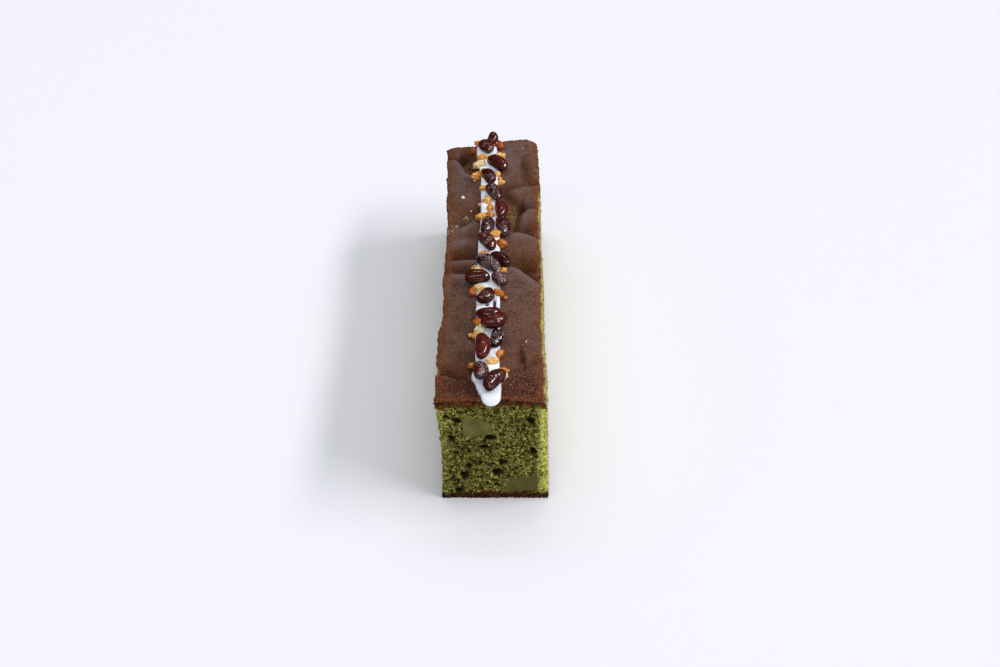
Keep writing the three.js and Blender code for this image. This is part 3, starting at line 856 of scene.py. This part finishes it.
def icingHalf(y):
    return (edgeAt(icing["right"], y) - edgeAt(icing["left"], y)) / 2


def icingTop(x, y):  # height of the icing's surface, 0 off the stripe
    reach = (x - icingMiddle(y)) / icingHalf(y)
    if abs(reach) >= 1:
        return 0
    return crustHeight(icingMiddle(y), y) + icing["rise"] * sqrt(1 - reach * reach) ** icing["flat"]


def icingAlong(v, across, up):  # place along the stripe, and how much of its section is left there
    front, back, reach, reachBack = icing["front"], icing["back"], icing["round"], icing["roundBack"]
    if abs(v) > 0.9999:  # the end caps are domed
        dome = sqrt(1 - (icing["tip"] * hypot(across, up)) ** 2)
        return (front - reach * dome if v < 0 else back + reachBack * dome), icing["tip"]
    lip = sqrt(1 - icing["tip"] ** 2)
    y = blend(front - reach * lip, back + reachBack * lip, (v + 1) / 2)
    past = max((front - y) / reach, (y - back) / reachBack, 0)
    return y, sqrt(1 - past ** 2)


def slitAt(x, y):  # 1 inside a slit
    inside = 0
    for slitX, slitY, length, width in icing["slits"]:
        within = ease(width / 2 + 0.35, width / 2 - 0.1, abs(x - slitX))
        inside = max(inside, within * ease(length / 2 + 0.5, length / 2 - 0.2, abs(y - slitY)))
    return inside


def icingPoint(u, v, w):  # where a point of the block goes, and how far it is in a slit
    front, reach = icing["front"], icing["round"]
    across, up = u * sqrt(1 - w * w / 2), w * sqrt(1 - u * u / 2)
    y, size = icingAlong(v, across, up)
    base = min(max(y, front), icing["back"])
    middle, half = icingMiddle(base), icingHalf(base)
    edgeNoise = rough(3 if u > 0 else -3, y, 0, icing["waverSize"])
    half += icing["waver"] * size * ease(front, front + 8, y) * edgeNoise
    x = middle + across * half * size
    slit = 0
    if up > 0:
        slit = slitAt(x, y)
        uneven = 0.25 * rough(x, y, 0, 3.2) + 0.05 * rough(x, y, 9, 1.3)
        z = size * (icing["rise"] * up ** icing["flat"] + ease(front - 2, front + 6, y) * uneven)
        z -= icing["slitDepth"] * slit
    else:
        z = size * icing["sunk"] * up
    if y < front:
        turn = radians(icing["nod"]) * ease(0, reach, front - y)
        ahead = y - front
        y = front + ahead * cos(turn) - z * sin(turn) * 0.5
        z = ahead * sin(turn) + z * cos(turn)
    return (x, y, crustHeight(middle, base) + z), slit


def shapeIcing():
    bm = bmesh.new()
    bmesh.ops.create_cube(bm, size=2)
    cutBlock(bm, icing["cuts"])
    slitLayer = bm.verts.layers.float.new("slit")
    for vert in bm.verts:
        vert.co, vert[slitLayer] = icingPoint(*vert.co)
    shadeSmooth(bm)
    bmesh.ops.recalc_face_normals(bm, faces=bm.faces)
    return bm


def icingFinish():
    f = Finish("white_icing")
    hue = palette(icing["colours"])
    cloud, fine = f.grain(5, 2), f.grain(0.8, 2)
    colour = f.mix(f.step(cloud, 0.3, 0.7), hue.cool, hue.white)
    colour = f.mix(f.step(f.painted("slit").slit, 0.25, 0.6), colour, hue.slit)  # painted dark: the crust's brown and painted shade in the narrow slit
    return f.surface({
        "Base Color": colour,
        "Roughness": 0.32,
        "Normal": f.bump(fine, 0.2, 0.15),
        "Subsurface Weight": 0.5,
        "Subsurface Radius": (1, 0.97, 0.94),
        "Subsurface Scale": 1.6 * mm,
        # painted light: a faint glow lifts the icing's shaded sides
        "Emission Color": hue.glow,
        "Emission Strength": 0.15,
    })


# The chopped nuts
nuts = {
    "size": 2.2,
    "long": 1.25,
    "wide": (0.8, 1.05),
    "flat": 0.78,
    "jitter": 0.32,
    "lean": (28, 20),  # most degrees it is rolled about its length, and tipped endways
    "lift": 1.2,  # middle of a nut over the crust, and over the icing
    "perch": 0.3,
    "ride": 0.75,  # share of the icing's rise that lifts a nut on the stripe
    "stripeHalf": 5,  # how far from the stripe's middle that holds
    "bevel": 0.34,
    "grit": 0.14,
    "gritSize": 0.7,
    "seed": 21,
    "bits": 26,  # small splinters beside the larger nuts
    "bitSize": (0.3, 0.55),
    "bitAway": (1.8, 3.2),
    # place, size, turn, and tone from 0 pale yellow to 1 deep orange
    "places": [
        (-8, -76.8, 1.0, 20, 0.7), (2.9, -69.4, 1.05, 70, 0.7), (-0.4, -75.6, 1.1, 35, 0.3),
        (4.2, -79.6, 0.95, 150, 0.6), (4.7, -81.6, 0.8, 80, 0.0), (-6.3, -50.2, 1.0, 100, 0.75),
        (-7.3, -57, 0.9, 30, 0.4), (-4.9, -55.2, 1.2, 75, -0.2), (-8.3, -26, 1.1, 60, 0.85),
        (-5.6, -24.8, 1.2, 10, 0.2), (2.4, -28, 1.25, 130, 0.7), (-7.7, -6.6, 0.95, 45, 0.4),
        (-6.5, -11.6, 1.0, 0, 0.25), (4, -10.6, 0.9, 95, 0.5), (-4.4, 0.2, 1.0, 15, 0.6),
        (0.7, 15.2, 1.05, 65, 0.4), (3.2, 9.4, 1.1, 5, 0.85), (-6, 29.8, 1.15, 40, 0.45),
        (-1.7, 36.2, 1.05, 85, 0.55), (-1.3, 30.8, 1.0, 120, 0.55), (-3.4, 43, 0.9, 25, 0.3),
        (-5, 53, 0.95, 55, 0.4), (3.1, 60.2, 0.95, 15, 0.4), (1.2, 66.2, 1.0, 70, 0.25),
        (-8.3, 65.2, 0.95, 10, 0.5), (-6.2, 66.6, 1.1, 50, 0.7), (-5.2, 70, 0.9, 95, 0.9),
        (-7, 75.6, 1.2, 30, 0.15), (-5.4, 80.6, 1.1, 5, 0.4), (-10.2, 92, 0.95, 60, 0.95),
        (2.6, 82.2, 1.1, 25, 0.3), (3.0, 92.6, 1.1, 110, 1.0), (-7.6, 95, 0.85, 20, 0.6),
    ],
    # pale specks of nut on the crust
    "specks": [
        (-14.4, 48.6, 0.4, 15, -0.2), (-10.4, 39.8, 0.24, 70, -0.1), (14, 90.6, 0.18, 30, 0.0),
        (13.6, -58.8, 0.2, 50, 0.0), (12.4, -60.4, 0.16, 10, 0.0), (-6.5, -54, 0.7, 40, -0.2),
    ],
    "colours": {"cream": (255, 240, 204), "straw": (250, 220, 156), "gold": (244, 184, 88),
                "orange": (220, 130, 48), "rust": (176, 78, 26), "fleck": (160, 84, 30)},
}


def addNut(bm, tone, place, draw):
    x, y, scale, turn, shade = place
    made = bmesh.ops.create_icosphere(bm, subdivisions=1, radius=nuts["size"] * scale)["verts"]
    for vert in made:
        vert.co *= 1 + nuts["jitter"] * draw.uniform(-1, 1)
    bmesh.ops.scale(bm, vec=(nuts["long"], draw.uniform(*nuts["wide"]), nuts["flat"]), verts=made)
    onStripe = bell((x - icingMiddle(y)) / nuts["stripeHalf"])
    height = crustHeight(x, y) + nuts["lift"] * scale + icing["rise"] * nuts["ride"] * onStripe
    height = max(height, icingTop(x, y) + nuts["perch"])
    spin = Matrix.Rotation(radians(turn), 3, "Z")
    for axis, most in zip("XY", nuts["lean"]):
        spin = spin @ Matrix.Rotation(radians(draw.uniform(-most, most)), 3, axis)
    bmesh.ops.rotate(bm, matrix=spin, verts=made)
    bmesh.ops.translate(bm, vec=(x, y, height), verts=made)
    for vert in made:
        vert[tone] = shade


def shapeNuts():
    draw = random.Random(nuts["seed"])
    bm = bmesh.new()
    tone = bm.verts.layers.float.new("tone")
    for place in nuts["places"]:
        addNut(bm, tone, place, draw)
    for _ in range(nuts["bits"]):
        x, y, scale, turn, shade = draw.choice(nuts["places"])
        away, angle = draw.uniform(*nuts["bitAway"]), radians(draw.uniform(0, 360))
        size = draw.uniform(*nuts["bitSize"])
        bit = (x + away * cos(angle), y + away * sin(angle), size, 7 * turn, shade)
        addNut(bm, tone, bit, draw)
    for place in nuts["specks"]:
        addNut(bm, tone, place, draw)
    bmesh.ops.bevel(bm, geom=bm.edges, offset=nuts["bevel"], affect="EDGES", segments=2, profile=0.5,
                    material=-1, clamp_overlap=True)
    bm.normal_update()
    for vert in bm.verts:
        vert.co += vert.normal * nuts["grit"] * rough(*vert.co, nuts["gritSize"])
    shadeSmooth(bm)
    return bm


def nutFinish():
    f = Finish("roasted_nut")
    hue = palette(nuts["colours"])
    fine, cloud = f.grain(0.5, 3), f.grain(1.2, 2)
    colour = f.ramp(f.painted("tone").tone + (cloud - 0.5) * 1.2, [
        (0.0, hue.cream), (0.14, hue.straw), (0.35, hue.gold), (0.65, hue.orange), (1.0, hue.rust)])
    colour = f.mix(f.step(fine, 0.58, 0.75) * 0.3, colour, hue.fleck)
    return f.surface({
        "Base Color": colour,
        "Roughness": 0.4,
        "Normal": f.bump(fine + cloud, 0.7, 0.3),
        "Subsurface Weight": 0.12,
        "Subsurface Radius": (1, 0.6, 0.3),
        "Subsurface Scale": 1.0 * mm,
    })


# The candied beans
beans = {
    "width": 6.6,
    "thickness": 6.2,
    "spread": 0.04,
    "blunt": 2.6,
    "bend": 0.16,
    "taper": 0.08,
    "seam": 0.35,  # depth of the crease along the hollow side, then its width and reach
    "seamWidth": 0.22,
    "seamReach": 0.75,
    "wrinkle": 0.16,
    "wrinkleSizes": (2.4, 1.3),
    "dustSize": 3.2,
    "seed": 7,
    # place, turn, tilt, length, girth, then how dusty, how wrinkled and how red
    "places": [
        (0.5, -90.2, 234, 0, 12.4, 1, 0.25, 0.4, 0.35),
        (-5.2, -84.2, 96, -18, 11.6, 1, 0.5, 0.3, 0.5),
        (1.2, -61.8, 77, 0, 10.6, 0.84, 0.35, 1.0, 0.0),
        (-4.4, -69.4, 89, 6, 13.6, 0.98, 0.05, 0.2, 0.9),
        (-1.9, -47.2, 4, 0, 10.8, 0.95, 0.05, 0.3, 0.5),
        (0.4, -53.8, 24, 0, 11.4, 1, 0.1, 0.7, 0.7),
        (-3.3, -33.4, 58, -8, 9.8, 0.95, 0.25, 0.7, 0.4),
        (-6.9, -19.3, 185, 0, 11, 0.98, 0.1, 0.05, 0.4),
        (2.8, -21, 112, -14, 10, 0.92, 0.55, 0.8, 0.5),
        (-2.2, -8.9, 134, 0, 12.6, 0.96, 0.65, 0.9, 0.1),
        (3.1, -3.7, 140, 0, 10.8, 0.84, 0.1, 0.3, 0.2),
        (-2.7, 7.6, 117, 0, 12.4, 0.95, 0.35, 0.4, 0.6),
        (-3, 19.4, 82, 0, 11.4, 0.92, 0.4, 0.5, 0.2),
        (4.2, 21.2, 98, 0, 13.6, 1, 0.3, 0.6, 0.4),
        (3.3, 33.6, 95, 0, 11.6, 0.9, 0.2, 0.2, 0.8),
        (0.3, 47.2, 117, 0, 11.8, 0.97, 0.4, 0.8, 0.4),
        (-2.3, 60.8, 110, 0, 10.4, 0.88, 0.35, 0.4, 0.3),
        (2, 73.8, 133, 0, 12.4, 0.97, 0.1, 0.4, 0.5),
        (-3.6, 87.6, 119, -8, 10.2, 0.93, 0.45, 0.4, 0.5),
        (-1, 95.6, 64, 24, 8, 0.74, 0.2, 0.3, 0.6),
    ],
    "colours": {"black": (44, 16, 16), "wine": (78, 28, 25), "red": (112, 40, 31), "cloud": (38, 12, 10),
                # the under colour is painted shade on the undersides, partly syrup pooled there; the
                # sugar colour is sugar grains and their painted glints
                "under": (24, 8, 8), "dust": (146, 114, 112), "sugar": (230, 208, 206)},
}
beanMarks = ("dust", "red", "wrinkled", "under")


def drawFrom(seed):  # the same repeatable draw, -1 to 1, as in the part's source
    factor, count = 16807, 2147483647
    state = seed
    while True:
        state = state * factor % count
        yield 2 * state / count - 1


def shapeBean(name, bean, sizes):
    x, y, turn, tilt, length, girth, dusty, wrinkled, red = bean
    wide = beans["width"] * girth * (1 + beans["spread"] * next(sizes))
    thick = beans["thickness"] * girth * (1 + beans["spread"] * next(sizes))
    broadCrease, fineCrease = beans["wrinkleSizes"]
    bm = bmesh.new()
    bmesh.ops.create_icosphere(bm, subdivisions=5, radius=1)
    layers = {mark: bm.verts.layers.float.new(mark) for mark in beanMarks}
    for vert in bm.verts:
        u, across, up = vert.co
        blunter = sqrt(max(1 - abs(u) ** beans["blunt"], 0) / max(1 - u * u, 1e-6))
        fill = blunter * (1 + beans["taper"] * u)
        onSeam = bell(up / beans["seamWidth"]) * ease(-0.1, 0.7, across) * bell(u / beans["seamReach"])
        seam = 1 - beans["seam"] / wide * 2 * onSeam
        place = Vector((u * length / 2, across * fill * seam * wide / 2, up * fill * thick / 2))
        spot = place + Vector((x, y, 0))
        crease = abs(rough(*spot, broadCrease)) + 0.6 * abs(rough(*spot, fineCrease))
        place *= 1 + wrinkled * beans["wrinkle"] * (crease - 0.3)
        place.y += beans["bend"] * beans["width"] * (u * u - 0.35)
        vert.co = place
        dust = dusty * (0.6 + 0.8 * rough(*spot, beans["dustSize"]))
        # the last mark is the underside share, darkened in the finish as painted shade
        for mark, value in zip(beanMarks, (dust, red, wrinkled, ease(0.35, -0.6, up))):
            vert[layers[mark]] = value
    spin = Matrix.Rotation(radians(turn), 3, "Z") @ Matrix.Rotation(radians(-tilt), 3, "Y")
    bmesh.ops.rotate(bm, matrix=spin, verts=bm.verts)
    low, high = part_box(name)
    heights = [v.co.z for v in bm.verts]
    lift = (low[2] + high[2]) / 2 / mm - (min(heights) + max(heights)) / 2
    bmesh.ops.translate(bm, vec=(x, y, lift), verts=bm.verts)
    shadeSmooth(bm)
    return bm


def beanFinish():
    f = Finish("candied_bean")
    hue, mark = palette(beans["colours"]), f.painted(*beanMarks)
    fine, cloud, crease, grit = f.grain(0.5, 3), f.grain(2.2, 2), f.grain(1.1, 2), f.grain(0.5, 1)
    skin = f.ramp(mark.red, [(0.0, hue.black), (0.3, hue.wine), (1.0, hue.red)])
    skin = f.mix(f.step(cloud, 0.4, 0.7) * 0.65, skin, hue.cloud)
    # painted shade on the undersides, partly syrup pooled there
    skin = f.mix(mark.under * 0.75, skin, hue.under)
    veil = f.step(mark.dust + (fine - 0.5) * 0.8, 0.3, 0.75)
    # sugar grains on the dusty beans, painted near white as glints too
    glintGrains = f.step(grit, 0.57, 0.64) * f.step(mark.dust + (cloud - 0.5) * 0.5, 0.12, 0.42)
    colour = f.mix(veil * 0.5, skin, hue.dust)
    colour = f.mix(glintGrains * 0.75, colour, hue.sugar)
    relief = fine * (0.1 + 0.3 * mark.wrinkled) + crease * (0.1 + mark.wrinkled)
    return f.surface({
        "Base Color": colour,
        "Roughness": 0.25 + veil * 0.3 + mark.under * 0.3,
        "Normal": f.bump(relief, 0.5, 0.7),
        "Specular IOR Level": 0.5,
        "Coat Weight": (1 - veil * 0.6) * (1 - mark.under * 0.85),
        "Coat Roughness": 0.1,
        "Coat IOR": 1.7,
    })


# Making the cake
setCamera()
setLights()
setFloor()
finishPiece("cake_loaf", shapeLoaf(), loafFinish(), ["loaf"])
chunkLook = chunkFinish()
for name in chunks["outlines"]:
    finishPiece(name + "_paste", shapeChunk(name), chunkLook, [name])
stripe = finishPiece("icing_stripe", shapeIcing(), icingFinish(), ["icing_with_nuts"])
stripe.visible_glossy = False  # keeps its white off the undersides of the beans
finishPiece("chopped_nuts", shapeNuts(), nutFinish(), ["icing_with_nuts"])
beanLook = beanFinish()
sizes = drawFrom(beans["seed"])
for index, bean in enumerate(beans["places"]):
    name = "bean_%02d" % (index + 1)
    finishPiece("candied_" + name, shapeBean(name, bean, sizes), beanLook, [name])
